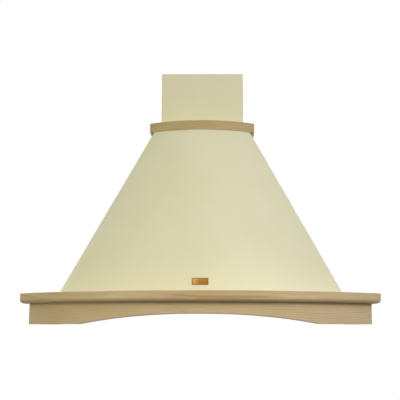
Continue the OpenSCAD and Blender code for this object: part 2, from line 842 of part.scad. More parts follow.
blade_in = fan_r * 0.81;
blade_t = 0.9;
blade_steps = 4;
blade_turn = 7;
module blade() {
    // A forward-curved blade: it leaves the hub side radially and bends over towards the rim
    polygon(concat(
        [for (i = [0:blade_steps]) blade_point(i / blade_steps, blade_t / 2)],
        [for (i = [blade_steps:-1:0]) blade_point(i / blade_steps, -blade_t / 2)]
    ));
}
function blade_point(t, side) =
    let (r = blade_in + (fan_r - 1 - blade_in) * t, deg = blade_turn * t * t)
    [r * cos(deg) - side * sin(deg + 20 * t), r * sin(deg) + side * cos(deg + 20 * t)];
disc_t = 2;
rim_t = 3;
hub_r = 12;
module fan_wheel() {
    half = fan_l / 2;
    color([0.30, 0.31, 0.33]) difference() {
        union() {
            along_x(-half, half) for (i = [0:fan_blades - 1]) rotate([0, 0, i * 360 / fan_blades]) blade();
            along_x(-disc_t / 2, disc_t / 2) circle(r = fan_r, $fn = 96);
            for (x = [-half, half - rim_t]) along_x(x, x + rim_t) difference() {
                circle(r = fan_r, $fn = 96);
                circle(r = blade_in + 4, $fn = 96);
            }
            along_x(-hub_r, motor_x0 - 3) circle(r = hub_r);
        }
        along_x(-fan_l, fan_l) circle(r = shaft_r + press_gap);
    }
}
module motor_shaft() {
    color(steel) along_x(-hub_r - 4, motor_x1 + 3) circle(r = shaft_r);
}
motor_step = 5;
motor_boss_l = 4;
motor_cap_l = 10;
module motor_body() {
    length = motor_x1 - motor_x0;
    color([0.55, 0.56, 0.58]) translate([motor_x0, -fan_y, fan_z]) rotate([0, 90, 0]) rotate_extrude($fn = 96)
        difference() {
            union() {
                square_between([0, 0], [motor_r * 0.4, length]);
                square_between([0, motor_boss_l], [motor_r - motor_step, length - motor_boss_l]);
                square_between([0, motor_cap_l], [motor_r, length - motor_cap_l]);
            }
            square_between([0, -1], [shaft_r + run_fit, length + 1]);
        }
}
arm_t = 3;
arm_w = 10;
spider_x = scroll_w / 2 + ring_lip + 1;
spider_foot = inlet_r + ring_lip + 3;
module motor_spider() {
    color(zinc) difference() {
        union() {
            along_x(spider_x - arm_t * 2, spider_x + arm_t) circle(r = motor_r - 1, $fn = 96);
            for (deg = [90, 210, 330]) {
                along_x(spider_x, spider_x + arm_t) rotate([0, 0, deg])
                    square_between([motor_r - motor_step, -arm_w / 2], [spider_foot + arm_w, arm_w / 2]);
                along_x(scroll_w / 2, spider_x + arm_t) rotate([0, 0, deg])
                    square_between([spider_foot, -arm_w / 2], [spider_foot + arm_w, arm_w / 2]);
            }
        }
        along_x(0, spider_x + 2 * arm_t) circle(r = motor_r - motor_step + press_gap, $fn = 96);
        along_x(0, motor_x1 - motor_cap_l + rest_gap) circle(r = motor_r + rest_gap, $fn = 96);
    }
}
cap_at = [-170, 210];
cap_r = 16;
cap_l = 52;
cap_tip_r = 9;
cap_tip_l = 6;
module capacitor() {
    color([0.85, 0.85, 0.82]) translate([cap_at.x, -sheet, cap_at.y]) rotate([90, 0, 0]) {
        cylinder(r = cap_r, h = cap_l);
        cylinder(r = cap_tip_r, h = cap_l + cap_tip_l);
    }
}
box_at = [130, 195];
box_w = 88;
box_d = 26;
box_h = 52;
lid_t = 6;
lid_over = 2;
module terminal_box() {
    color(black) translate([box_at.x, -sheet, box_at.y]) {
        translate([0, -box_d, 0]) cube([box_w, box_d, box_h]);
        translate([-lid_over, -box_d - lid_t, -lid_over])
            cube([box_w + 2 * lid_over, lid_t, box_h + 2 * lid_over]);
    }
}

// Duct collar with two non-return flaps on one pin
flap_t = 1.2;
flap_gap = 1.5;
seat_w = 5;
seat_t = 1.5;
knuckle_wall = 1.4;
knuckle_r = flap_pin_r + knuckle_wall;
knuckles = 5;
collar_in = collar_r - collar_wall;
flap_r = collar_in - flap_gap;
knuckle_l = 2 * flap_r * 0.84 / knuckles;
pin_z = deck_top + flap_up;
module duct_collar() {
    color([0.30, 0.31, 0.33]) translate([0, collar_y, deck_top]) difference() {
        rotate_extrude(angle = 360, $fn = 96) union() {
            square_between([collar_in, 0], [collar_flange_r, collar_wall]);
            square_between([collar_in, 0], [collar_r, collar_h]);
            square_between([collar_in - seat_w, flap_up - flap_t / 2 - rest_gap - seat_t],
                [collar_in + eps, flap_up - flap_t / 2 - rest_gap]);
        }
        translate([0, collar_r + 1, flap_up]) rotate([90, 0, 0])
            cylinder(r = flap_pin_r + press_gap, h = 2 * collar_r + 2);
        translate([-knuckle_r - rest_gap, -collar_in, flap_up - knuckle_r - 1])
            cube([2 * (knuckle_r + rest_gap), 2 * collar_in - eps, knuckle_r + 0.5]);
        for (deg = [45:90:315]) rotate([0, 0, deg]) translate([collar_r + collar_screw_out, 0, -1])
            cylinder(r = deck_screw_r + press_gap, h = collar_wall + 2);
    }
}
module flap_pin() {
    color(steel) translate([0, collar_y + collar_r - rest_gap, pin_z]) rotate([90, 0, 0])
        cylinder(r = flap_pin_r, h = 2 * (collar_r - rest_gap));
}
// Knuckles alternate along the pin: each flap has every other one
module flap(side) {
    mine = side > 0 ? 0 : 1;
    color([0.55, 0.56, 0.57]) translate([0, collar_y, pin_z]) difference() {
        union() {
            slab(-flap_t / 2, flap_t / 2) difference() {
                circle(r = flap_r, $fn = 96);
                translate([side > 0 ? -2 * flap_r + knuckle_r + 0.4 : -knuckle_r - 0.4, -flap_r - 1])
                    square([2 * flap_r, 2 * flap_r + 2]);
            }
            for (k = [0:knuckles - 1]) if (k % 2 == mine) translate([0, knuckle_y(k), 0]) {
                rotate([90, 0, 0]) cylinder(r = knuckle_r, h = knuckle_l - 0.6, center = true);
                slab(-flap_t / 2, flap_t / 2) translate([side > 0 ? 0 : -knuckle_r - 2, -knuckle_l / 2 + 0.3])
                    square([knuckle_r + 2, knuckle_l - 0.6]);
            }
        }
        rotate([90, 0, 0]) cylinder(r = flap_pin_r + run_fit, h = 2 * flap_r + 2, center = true);
    }
}
function knuckle_y(k) = (k - (knuckles - 1) / 2) * knuckle_l;

// Chimney cover, its wall bracket and their screws
bracket_down = 45;
bracket_z = chimney_z + chimney_l - bracket_down;
bracket_h = 28;
bracket_t = 1.5;
bracket_arm = 40;
bracket_hole_x = 60;
bracket_hole_r = 3;
chimney_screw_in = 28;
chimney_screw_r = 2;
chimney_screw_l = 8;
chimney_head_r = 3.8;
chimney_head_h = 1.6;
chimney_screw_y = -chimney_rear - chimney_screw_in;
module chimney_section(inset, rear) {
    square_between([-chimney_w / 2 + inset, -chimney_d + inset], [chimney_w / 2 - inset, rear]);
}
module chimney_cover() {
    color(cream) difference() {
        slab(chimney_z, chimney_z + chimney_l) chimney_section(0, -chimney_rear);
        slab(chimney_z - 1, chimney_z + chimney_l + 1) {
            chimney_section(sheet, -chimney_rear - sheet);
            square_between([-chimney_w / 2 + chimney_return, -chimney_rear - 2 * sheet],
                [chimney_w / 2 - chimney_return, 1]);
        }
        chimney_screw_places(chimney_screw_r + press_gap);
    }
}
module chimney_screw_places(r) {
    translate([-chimney_w / 2 - 5, chimney_screw_y, bracket_z + bracket_h / 2]) rotate([0, 90, 0])
        cylinder(r = r, h = chimney_w + 10);
}
module chimney_bracket() {
    edge = chimney_w / 2 - chimney_return - 3;
    arm_x = chimney_w / 2 - sheet;
    step_y = -chimney_rear - sheet - 1;
    color(zinc) difference() {
        slab(bracket_z, bracket_z + bracket_h) {
            square_between([-edge, -bracket_t], [edge, 0]);
            for (side = [0, 1]) mirror([side, 0]) {
                square_between([edge - bracket_t, step_y - bracket_t], [edge, 0]);
                square_between([edge - bracket_t, step_y - bracket_t], [arm_x, step_y]);
                square_between([arm_x - bracket_t, step_y - bracket_arm], [arm_x, step_y]);
            }
        }
        for (x = [-1, 1]) translate([x * bracket_hole_x, 1, bracket_z + bracket_h / 2])
            rotate([90, 0, 0]) cylinder(r = bracket_hole_r, h = bracket_t + 2);
        chimney_screw_places(chimney_screw_r + press_gap);
    }
}
module chimney_screws() {
    color(zinc) for (side = [0, 1]) mirror([side, 0, 0])
        translate([chimney_w / 2, chimney_screw_y, bracket_z + bracket_h / 2]) rotate([0, 90, 0]) {
            translate([0, 0, -chimney_screw_l]) cylinder(r = chimney_screw_r, h = chimney_screw_l + eps);
            cylinder(r = chimney_head_r, h = chimney_head_h);
        }
}

cornice_front();
cornice_left();
cornice_right();
apron_front();
apron_left();
apron_right();
corner_blocks();
ring_front();
ring_left();
ring_right();
dome_shell();
neck_plate();
back_panel();
base_pan();
deck_plate();
deck_braces();
front_plate();
frame_screws();
ring_screws();
filter_hooks();
filter_frame(-1);  // filter_frame_left
filter_frame(1);  // filter_frame_right
filter_mesh(-1);  // filter_mesh_left
filter_mesh(1);  // filter_mesh_right
filter_rod(-1);  // filter_rod_left
filter_rod(1);  // filter_rod_right
filter_latch(-1);  // filter_latch_left
filter_latch(1);  // filter_latch_right
lamp_bezel(-1);  // lamp_bezel_left
lamp_bezel(1);  // lamp_bezel_right
lamp_glass(-1);  // lamp_glass_left
lamp_glass(1);  // lamp_glass_right
lamp_holders();
lamp_bulbs();
switch_bezel();
switch_body();
button(1);  // button_1
button(2);  // button_2
button(3);  // button_3
button(4);  // button_4
button(5);  // button_5
scroll_left();
scroll_right();
inlet_rings();
fan_wheel();
motor_shaft();
motor_body();
motor_spider();
capacitor();
terminal_box();
deck_screws();
duct_collar();
flap(-1);  // flap_left
flap(1);  // flap_right
flap_pin();
cable_grommet();
chimney_cover();
chimney_bracket();
chimney_screws();
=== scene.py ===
import math
import bmesh
import bpy
from mathutils import Matrix, Vector


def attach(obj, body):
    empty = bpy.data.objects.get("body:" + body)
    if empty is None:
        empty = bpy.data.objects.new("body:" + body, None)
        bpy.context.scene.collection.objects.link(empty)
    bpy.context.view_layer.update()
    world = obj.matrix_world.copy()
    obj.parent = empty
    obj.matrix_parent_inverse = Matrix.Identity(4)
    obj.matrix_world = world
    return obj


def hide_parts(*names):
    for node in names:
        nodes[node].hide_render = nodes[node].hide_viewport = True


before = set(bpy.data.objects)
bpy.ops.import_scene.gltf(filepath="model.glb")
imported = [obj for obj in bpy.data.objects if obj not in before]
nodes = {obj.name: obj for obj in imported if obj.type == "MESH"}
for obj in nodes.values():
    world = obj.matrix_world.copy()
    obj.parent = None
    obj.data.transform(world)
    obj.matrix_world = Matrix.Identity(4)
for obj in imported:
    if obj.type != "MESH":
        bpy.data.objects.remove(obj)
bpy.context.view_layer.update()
MM = 0.001

# Sizes shared with the part, in millimetres
CORNICE_W, CORNICE_D, CORNICE_BOW = 900, 500, 180
CORNICE_R = ((CORNICE_W / 2) ** 2 + CORNICE_BOW ** 2) / (2 * CORNICE_BOW)
CORNICE_CY = CORNICE_R - CORNICE_D
CORNICE_Z, FOOT_Z, NECK_Z = 13, 38, 472
APRON_INSET, APRON_T, APRON_Z = 22, 18, -38
MARGIN, WOOD_FIT, PAN_INSET = 87.5, 0.5, 41
FOOT_HALF, FOOT_R = CORNICE_W / 2 - MARGIN, CORNICE_R - MARGIN
CHIMNEY_W, CHIMNEY_D, CHIMNEY_RETURN = 223, 211, 20
CHIMNEY_Z, CHIMNEY_TOP, CHIMNEY_REAR = 263.8, 642.8, 2.8
NECK_HALF, NECK_BOW, NECK_FRONT = 129.5, 32.5, 22
NECK_D = CHIMNEY_D + NECK_FRONT + NECK_BOW
NECK_R = (NECK_HALF ** 2 + NECK_BOW ** 2) / (2 * NECK_BOW)
NECK_CY = NECK_R - NECK_D
RING_LEAD, RING_Z, RING_H, RING_SLOT = 2, 473, 24.5, 3
DOME_REAR, DOME_RETURN, SHEET = -1.05, 12, 1.0   # the rear lies just before the back panel

# Shapes as measured on the photograph and usual for such joinery
ARCH_HALF, ARCH_RISE, ARCH_POWER = 291, 25.0, 2.2
ARCH_LEAN, ARCH_FADE = 1.6, 16   # the cut face's lean is full at a sixteenth of the rise
RING_OVER = 11.2   # past the neck's sides
CORNICE_ROUNDS, APRON_ROUNDS, RING_ROUNDS = (10, 0.8), (0.8, 0.3), (1.5, 1.2)   # lower, upper
CORNER_ROUND, MITRE_EASE = 3, 0.25
HIP_ROUND, FOLD_ROUND = 3, 2.2
PLATE_W, PLATE_H, PLATE_T, PLATE_RISE, PLATE_X = 39.5, 17.6, 0.8, 25, 1.3
PLATE_CORNER, PLATE_EASE, PLATE_BORDER, PLATE_SUNK, PLATE_OFF = 1.6, 0.35, 1.4, 0.3, 0.05
RIM_DARK_X, RIM_DARK_Z = (17.4, 19.0), (6.2, 7.8)   # from the plate's middle: where the darker rim starts, is full

# How finely the meshes are cut, and how big the boards are before they are trimmed
SIDE_STOCK, RING_STOCK = 520, 60
DOME_STEPS, BEND_CUTS, DOME_LOOPS = 72, 5, (130, 220, 310, 390)
# A loop this far beside a round keeps the flat face's shading flat
HOLD, HIP_HOLD, FOOT_HOLD, FOLD_HOLD, END_HOLD = 0.2, 7, 2, 3, 1
NEAR = 1e-3   # places closer than this are the same

# The floor, in metres: how low, how wide, and where it starts and ends to fade
FLOOR_Z, FLOOR_R, FLOOR_FADE = -0.75, 6, (1.6, 3.6)


# Materials

class Sock:
    """A shader value that adds its own Math nodes when it is reckoned with."""

    def __init__(self, owner, out):
        self.owner = owner
        self.out = out

    def op(self, kind, *values):
        return self.owner.node("ShaderNodeMath", {"operation": kind}, dict(enumerate(values)))

    def __add__(self, other):
        return self.op("ADD", self, other)

    __radd__ = __add__

    def __sub__(self, other):
        return self.op("SUBTRACT", self, other)

    def __rsub__(self, other):
        return self.op("SUBTRACT", other, self)

    def __mul__(self, other):
        return self.op("MULTIPLY", self, other)

    __rmul__ = __mul__

    def __pow__(self, other):
        return self.op("POWER", self, other)

    def sin(self):
        return self.op("SINE", self)

    def clamp(self):
        return self.owner.node("ShaderNodeClamp", {}, {"Value": self})


class Nodes:
    """A node tree, with short ways to add to it."""

    def __init__(self, tree):
        self.tree = tree

    def node(self, kind, settings=None, sockets=None, out=0):
        made = self.tree.nodes.new(kind)
        for key, value in (settings or {}).items():
            setattr(made, key, value)
        for key, value in (sockets or {}).items():
            self.join(made.inputs[key], value)
        return Sock(self, made.outputs[out])

    def join(self, target, value):
        if isinstance(value, Sock):
            self.tree.links.new(value.out, target)
        else:
            target.default_value = value

    def place(self):
        return self.node("ShaderNodeTexCoord", out="Object")

    def grain_place(self):
        return self.node("ShaderNodeAttribute", {"attribute_name": "grain"}, out="Vector")

    def looked_at(self):
        """1 where the camera sees this, straight or in metal or glass."""
        rays = [self.node("ShaderNodeLightPath", out="Is %s Ray" % kind)
                for kind in ("Camera", "Glossy", "Transmission")]
        return (rays[0] + rays[1] + rays[2]).clamp()

    def stretch(self, vector, scale, shift=(0, 0, 0)):
        return self.node("ShaderNodeMapping", {}, {
            "Vector": vector, "Scale": scale, "Location": shift})

    def split(self, vector):
        made = self.node("ShaderNodeSeparateXYZ", {}, {0: vector}).out.node
        return [Sock(self, part) for part in made.outputs]

    def noise(self, vector, scale, detail=3, rough=0.5):
        return self.node("ShaderNodeTexNoise", {}, {
            "Vector": vector, "Scale": scale, "Detail": detail, "Roughness": rough})

    def cells(self, vector, scale, feature="F1", out="Distance"):
        return self.node("ShaderNodeTexVoronoi", {"feature": feature}, {
            "Vector": vector, "Scale": scale}, out=out)

    def between(self, value, low, high):
        """0 at low, 1 at high, straight in between."""
        return self.node("ShaderNodeMapRange", {"clamp": True}, {
            "Value": value, "From Min": low, "From Max": high})

    def mix(self, share, first, second):
        return self.node("ShaderNodeMix", {"data_type": "RGBA"}, {
            0: share, 6: first, 7: second}, out=2)

    def bump(self, height, depth, strength=1, over=None):
        sockets = {"Height": height, "Distance": depth, "Strength": strength}
        if over is not None:
            sockets["Normal"] = over
        return self.node("ShaderNodeBump", {}, sockets)


class Finish(Nodes):
    """One material."""

    def __init__(self, name):
        self.material = bpy.data.materials.new(name)
        self.material.use_nodes = True
        super().__init__(self.material.node_tree)
        self.shader = self.tree.nodes["Principled BSDF"]

    def set(self, **sockets):
        for key, value in sockets.items():
            self.join(self.shader.inputs[key.replace("_", " ")], value)


def shade(r, g, b):
    """An sRGB colour, 0 to 255, as the linear values that a shader takes."""
    return tuple((c / 255 / 12.92) if c <= 10 else ((c / 255 + 0.055) / 1.055) ** 2.4
                 for c in (r, g, b)) + (1,)


def toned(tone, factor, lift=0):
    """A tone made darker or lighter."""
    return tuple(min(1, c * factor + lift) for c in tone[:3]) + (1,)


def beech(name, light, middle, dark, seed, pith=(0.055, 0.0), pitch=900, wander=0.16,
          heart=None):
    """Steamed beech, clear matt lacquer: growth lines along the board, silky fibre, short flecks.

    pith is how deep and how high the trunk's middle lies from the board, pitch how close the
    rings are, wander how far they sway, and heart where a streak of heartwood runs, if any.
    """
    m = Finish(name)
    g = m.grain_place()
    along, into, up = m.split(g)
    sway = m.noise(m.stretch(g, (1.6, 9, 9), (seed, 0, 0)), 1, 2, 0.45)
    ripple = m.noise(m.stretch(g, (9, 40, 40), (seed, 3, 0)), 1, 3, 0.5)
    depth = into + pith[0]
    height = up + (sway - 0.5) * wander + pith[1]
    reach = (depth * depth + height * height) ** 0.5 + (ripple - 0.5) * 0.006
    rings = (reach * pitch).sin() * 0.5 + 0.5
    late = rings ** 3
    fibre = m.noise(m.stretch(g, (14, 900, 900), (seed, 7, 0)), 1, 4, 0.6)
    silk = m.noise(m.stretch(g, (70, 2600, 2600), (seed, 9, 0)), 1, 2, 0.5)
    cloud = m.noise(m.stretch(g, (5, 16, 16), (seed, 2, 5)), 1, 2, 0.5)
    blush = m.noise(m.stretch(g, (3.2, 24, 24), (seed, 12, 1)), 1, 2, 0.5)
    base = m.mix(m.between(cloud, 0.3, 0.7), middle, light)
    base = m.mix(m.between(blush, 0.52, 0.72) * 0.35, base, shade(214, 176, 138))
    if heart:
        # a long brown streak of heartwood, fading out at both ends
        away = along - heart[0]
        off = up - heart[1] + m.between(away, -0.05, -0.16) * -0.009 + (sway - 0.5) * 0.012
        streak = m.between(off * off, 0.000012, 0.000001) * m.between(away * away, 0.024, 0.008)
        base = m.mix(streak * 0.55, base, shade(166, 122, 78))
    base = m.mix(late * 0.30, base, dark)
    base = m.mix(m.between(fibre, 0.35, 0.75) * 0.30, base, dark)
    # short dark flecks: some of many long cells
    dots = m.stretch(g, (260, 1500, 1500), (seed, 0, 0))
    chosen = m.between(m.split(m.cells(dots, 1, out="Color"))[0], 0.72, 0.78)
    fleck = m.between(m.cells(dots, 1), 0.30, 0.12) * chosen
    base = m.mix(fleck * 0.45, base, shade(118, 84, 52))
    low = m.bump(fibre, 0.00018, 0.5)
    m.set(Base_Color=base, Roughness=0.50 + silk * 0.10 - late * 0.05,
          Normal=m.bump(silk + fleck * -1.2, 0.00006, 0.6, low), Specular_IOR_Level=0.35)
    return m.material


def enamel(name, tone, lighter):
    """Satin powder coat: even colour, a faint orange peel and the odd speck."""
    m = Finish(name)
    p = m.place()
    cloud = m.noise(p, 7, 3, 0.5)
    colour = m.mix(m.between(cloud, 0.25, 0.75), tone, lighter)
    speck = m.cells(p, 420)
    colour = m.mix(m.between(speck, 0.10, 0.02) * 0.12, colour, shade(190, 180, 140))
    peel = m.noise(p, 620, 2, 0.5)
    wide = m.noise(p, 90, 2, 0.5)
    grain = m.bump(peel, 0.00004, 0.5, m.bump(wide, 0.00012, 0.35))
    m.set(Base_Color=colour, Roughness=0.40 + m.noise(p, 35, 3, 0.5) * 0.08, Normal=grain)
    return m.material


def galvanised(name):
    """Zinc-coated sheet with its spangle."""
    m = Finish(name)
    p = m.place()
    warp = m.noise(p, 14, 2, 0.5)
    tone = m.split(m.cells(p, 95, out="Color"))[0]
    edge = m.cells(p, 95, "DISTANCE_TO_EDGE")
    colour = m.mix(tone, shade(148, 152, 155), shade(196, 199, 201))
    colour = m.mix(m.between(edge, 0.05, 0.0) * 0.3, colour, shade(120, 124, 128))
    colour = m.mix(warp * 0.25, colour, shade(205, 206, 204))
    m.set(Base_Color=colour, Metallic=0.85, Roughness=0.34 + tone * 0.16,
          Normal=m.bump(tone, 0.00004, 0.4))
    return m.material


def brushed(name, tone, along, rough):
    """Rolled metal with fine lines along one axis."""
    m = Finish(name)
    p = m.place()
    lines = m.noise(m.stretch(p, [18 if axis == along else 2600 for axis in "xyz"]), 1, 3, 0.6)
    cloud = m.noise(p, 11, 2, 0.5)
    colour = m.mix(m.between(lines, 0.3, 0.8) * 0.55, tone, toned(tone, 0.72))
    m.set(Base_Color=colour, Metallic=1.0, Roughness=rough + lines * 0.14 + cloud * 0.06,
          Normal=m.bump(lines, 0.00003, 0.5))
    return m.material


def brass_plate(name, tone, reflection_tone, dark_tone):
    """Brushed brass: a painted reflection brightens the left end, and the tone darkens round the
    rim.
    """
    m = Finish(name)
    p = m.place()
    x, y, z = m.split(p)
    lines = m.noise(m.stretch(p, (18, 2600, 2600)), 1, 3, 0.6)
    # painted reflection: the left end is lighter, standing in for a lamp mirrored in the metal
    painted_reflection = m.between(x + m.noise(p, 60, 2, 0.5) * 0.006, 0.002, -0.006)
    colour = m.mix(painted_reflection * 0.5, m.mix(lines * 0.4, tone, dark_tone), reflection_tone)

    def rim_darkening(value, middle, start, full):
        off = value - middle * MM
        return m.between(off * off, (start * MM) ** 2, (full * MM) ** 2)

    # the tone turns darker towards the rim
    rim = (rim_darkening(x, PLATE_X, *RIM_DARK_X) + rim_darkening(z, FOOT_Z + PLATE_RISE, *RIM_DARK_Z)).clamp()
    m.set(Base_Color=m.mix(rim * 0.75, colour, dark_tone), Metallic=1.0,
          Roughness=0.28 + lines * 0.14 + rim * 0.15, Normal=m.bump(lines, 0.00003, 0.5))
    return m.material


def moulded(name, tone, rough):
    """Moulded plastic with a fine spark-eroded grain."""
    m = Finish(name)
    p = m.place()
    pits = m.noise(p, 1500, 2, 0.6)
    cloud = m.noise(p, 18, 2, 0.5)
    m.set(Base_Color=m.mix(m.between(cloud, 0.3, 0.7), tone, toned(tone, 1.25, 0.004)),
          Roughness=rough + pits * 0.12, Normal=m.bump(pits, 0.00005, 0.6))
    return m.material


def plated(name, tone, rough=0.22):
    """Plated or cast small metal parts."""
    m = Finish(name)
    cloud = m.noise(m.place(), 160, 3, 0.6)
    m.set(Base_Color=m.mix(cloud * 0.5, tone, toned(tone, 0.8)), Metallic=1.0,
          Roughness=rough + cloud * 0.16, Normal=m.bump(cloud, 0.00003, 0.3))
    return m.material


def frosted(name, tone, amount):
    """Etched glass that lets this share of the light through."""
    m = Finish(name)
    etch = m.noise(m.place(), 900, 3, 0.6)
    m.set(Base_Color=m.mix(etch, tone, shade(250, 250, 248)), Roughness=0.22 + etch * 0.15,
          Normal=m.bump(etch, 0.00005, 0.5), Transmission_Weight=amount, IOR=1.5)
    return m.material


beech_face = beech("beech_face", shade(228, 207, 158), shade(214, 190, 140),
                   shade(180, 151, 99), 5.7, heart=(0.365, 0.0225))
beech_ring = beech("beech_ring", shade(204, 183, 128), shade(191, 168, 113),
                   shade(162, 133, 81), 2.1)
beech_apron = beech("beech_apron", shade(234, 211, 166), shade(221, 196, 145),
                    shade(184, 153, 103), 4.3, pith=(0.02, 0.15), pitch=1330, wander=0.045)
cream = enamel("cream_enamel", shade(232, 226, 184), shade(236, 231, 192))
zinc_sheet = galvanised("zinc_sheet")
pan_steel = brushed("pan_steel", shade(190, 191, 192), "x", 0.26)
zinc_screw = plated("zinc_screw", shade(188, 188, 184))
# the second of the three tones is a painted reflection, laid on the plate's left end
brass = brass_plate("brass_brushed", shade(166, 121, 54), shade(198, 154, 94), shade(92, 72, 32))
filter_alloy = brushed("filter_alloy", shade(205, 206, 208), "x", 0.30)
mesh_alloy = plated("mesh_alloy", shade(168, 170, 172), 0.35)
spring_steel = plated("spring_steel", shade(176, 176, 174), 0.25)
lamp_frost = frosted("lamp_frost", shade(236, 240, 240), 0.75)
bulb_frost = frosted("bulb_frost", shade(240, 238, 226), 0.3)
black_case = moulded("black_case", shade(34, 34, 36), 0.42)
white_key = moulded("white_key", shade(214, 214, 210), 0.35)
scroll_case = moulded("scroll_case", shade(78, 80, 84), 0.5)
motor_alloy = plated("motor_alloy", shade(150, 152, 155), 0.38)
can_alloy = brushed("can_alloy", shade(200, 202, 204), "y", 0.3)
rubber = moulded("grommet_rubber", shade(26, 26, 26), 0.7)

# The nodes that keep the part's own mesh
for finish, names in (
        (beech_apron, "corner_blocks"),
        (cream, "neck_plate"),
        (zinc_sheet, "back_panel deck_plate deck_braces chimney_bracket motor_spider"
                     " filter_hooks"),
        (zinc_screw, "frame_screws ring_screws deck_screws chimney_screws"),
        (pan_steel, "base_pan lamp_bezel_left lamp_bezel_right"),
        (filter_alloy, "filter_frame_left filter_frame_right"),
        (mesh_alloy, "filter_mesh_left filter_mesh_right"),
        (spring_steel, "filter_rod_left filter_rod_right filter_latch_left filter_latch_right"
                       " motor_shaft flap_pin"),
        (lamp_frost, "lamp_glass_left lamp_glass_right"),
        (bulb_frost, "lamp_bulbs"),
        (black_case, "lamp_holders switch_bezel switch_body terminal_box"),
        (white_key, "button_1 button_2 button_3 button_4 button_5"),
        (scroll_case, "scroll_left scroll_right inlet_rings fan_wheel duct_collar flap_left"
                      " flap_right"),
        (motor_alloy, "motor_body"),
        (can_alloy, "capacitor"),
        (rubber, "cable_grommet")):
    for node_name in names.split():
        mesh = nodes[node_name].data
        if not mesh.materials:
            mesh.materials.append(finish)
        for i in range(len(mesh.materials)):
            mesh.materials[i] = finish


# Shaping

def as_object(name, bm, finish):
    """Turns a bmesh in metres into an object of one finish."""
    mesh = bpy.data.meshes.new(name)
    bm.to_mesh(mesh)
    bm.free()
    mesh.materials.append(finish)
    obj = bpy.data.objects.new(name, mesh)
    bpy.context.scene.collection.objects.link(obj)
    return obj


def piece(name, bm, finish, node, body="hood", sharp=35):
    """Turns a bmesh in millimetres into a piece that rides on a body and stands for a node."""
    bmesh.ops.scale(bm, vec=(MM, MM, MM), verts=bm.verts)
    obj = as_object(name, bm, finish)
    obj.data.shade_smooth()
    obj.data.set_sharp_from_angle(angle=math.radians(sharp))
    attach(obj, body)
    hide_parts(node)
    return obj


def points_of(geom):
    """The vertices among what an operator gave back."""
    return [v for v in geom if isinstance(v, bmesh.types.BMVert)]


def rim_at(bm, axis, place):
    """The open edges that lie at one place of an axis."""
    return [e for e in bm.edges
            if e.is_boundary and all(abs(getattr(v.co, axis) - place) < NEAR for v in e.verts)]


def soften(bm, edges, radius, segments, **more):
    """Rounds edges."""
    bmesh.ops.bevel(bm, geom=edges, offset=radius, offset_type="OFFSET", affect="EDGES",
                    segments=segments, profile=0.5, material=-1, **more)


def cut_across(bm, places, axis="x"):
    """Adds edge loops across an axis, so that shading stays true up to the next bend."""
    way = Vector([float(axis == a) for a in "xyz"])
    for place in places:
        bmesh.ops.bisect_plane(bm, geom=bm.verts[:] + bm.edges[:] + bm.faces[:],
                               plane_co=way * place, plane_no=way, dist=NEAR)


def trim(bm, point, normal, ease=0.0):
    """Cuts a piece off along a plane, closes the cut and eases its arris."""
    out = bmesh.ops.bisect_plane(bm, geom=bm.verts[:] + bm.edges[:] + bm.faces[:],
                                 dist=NEAR, plane_co=point, plane_no=normal,
                                 clear_outer=True)
    rim = [g for g in out["geom_cut"] if isinstance(g, bmesh.types.BMEdge) and g.is_valid]
    made = bmesh.ops.holes_fill(bm, edges=rim, sides=0)
    if ease and made["faces"]:
        edges = {e for f in made["faces"] for e in f.edges}
        soften(bm, list(edges), ease, 1, clamp_overlap=True)


def face_out(bm):
    """Turns an open sheet so that its front looks away from the wall."""
    bmesh.ops.recalc_face_normals(bm, faces=bm.faces)
    front = min(bm.faces, key=lambda f: f.calc_center_median().y)
    if front.normal.y > 0:
        bmesh.ops.reverse_faces(bm, faces=bm.faces)


def thicken(obj):
    """Gives a folded sheet its thickness, inward."""
    made = obj.modifiers.new("wall", "SOLIDIFY")
    made.thickness = SHEET * MM
    made.offset = -1
    made.use_even_offset = True


def arc_y(x, radius, centre_y):
    """Where a bow of this radius round (0, centre_y) lies at x."""
    return centre_y - math.sqrt(radius * radius - x * x)


def corner(inset):
    """The cornice's front right corner, moved inward along the mitre."""
    x = CORNICE_W / 2 - inset
    return x, arc_y(x, CORNICE_R - inset, CORNICE_CY)


# Boards

def board_section(width, low, high):
    """A board's section in (Y, Z), from its outer face inward."""
    return [(0, low), (0, high), (width, high), (width, low)]


def straight_board(outline, length, lower_round, upper_round):
    """A board along X from a section in (Y, Z); its outer face is at Y = 0 and Y runs inward."""
    bm = bmesh.new()
    face = bm.faces.new([bm.verts.new((0, y, z)) for y, z in outline])
    out = bmesh.ops.extrude_face_region(bm, geom=[face])
    bmesh.ops.translate(bm, vec=(length, 0, 0), verts=points_of(out["geom"]))
    bmesh.ops.recalc_face_normals(bm, faces=bm.faces)
    low_z = min(z for y, z in outline)
    high_z = max(z for y, z in outline)

    def is_arris(edge, z):
        start, end = (v.co for v in edge.verts)
        return (abs(start.x - end.x) > length / 2 and abs(start.y) < NEAR
                and abs(start.z - z) < NEAR)

    for z, radius in ((low_z, lower_round), (high_z, upper_round)):
        soften(bm, [e for e in bm.edges if is_arris(e, z)], radius, 10 if radius > 5 else 4)
    cut_across(bm, (low_z + lower_round + HOLD, high_z - upper_round - HOLD), "z")
    cut_across(bm, (lower_round + HOLD, upper_round + HOLD), "y")
    return bm


def bend(bm, radius, centre_y):
    """Bends a straight board round the bow: X becomes the way round, Y the way in."""
    for v in bm.verts:
        turn = v.co.x / radius
        reach = radius - v.co.y
        v.co.x = reach * math.sin(turn)
        v.co.y = centre_y - reach * math.cos(turn)


def cut_arch(bm, radius, centre_y):
    """Lifts the lower edge into the arch; its face falls towards the back, so its shade shows."""
    cut_across(bm, [-ARCH_HALF, ARCH_HALF])
    for v in bm.verts:
        if v.co.z < APRON_Z + 2 and abs(v.co.x) < ARCH_HALF:
            share = 1 - (abs(v.co.x) / ARCH_HALF) ** ARCH_POWER
            depth = radius - math.hypot(v.co.x, centre_y - v.co.y)
            v.co.z += ARCH_RISE * share - ARCH_LEAN * depth / APRON_T * min(1, share * ARCH_FADE)


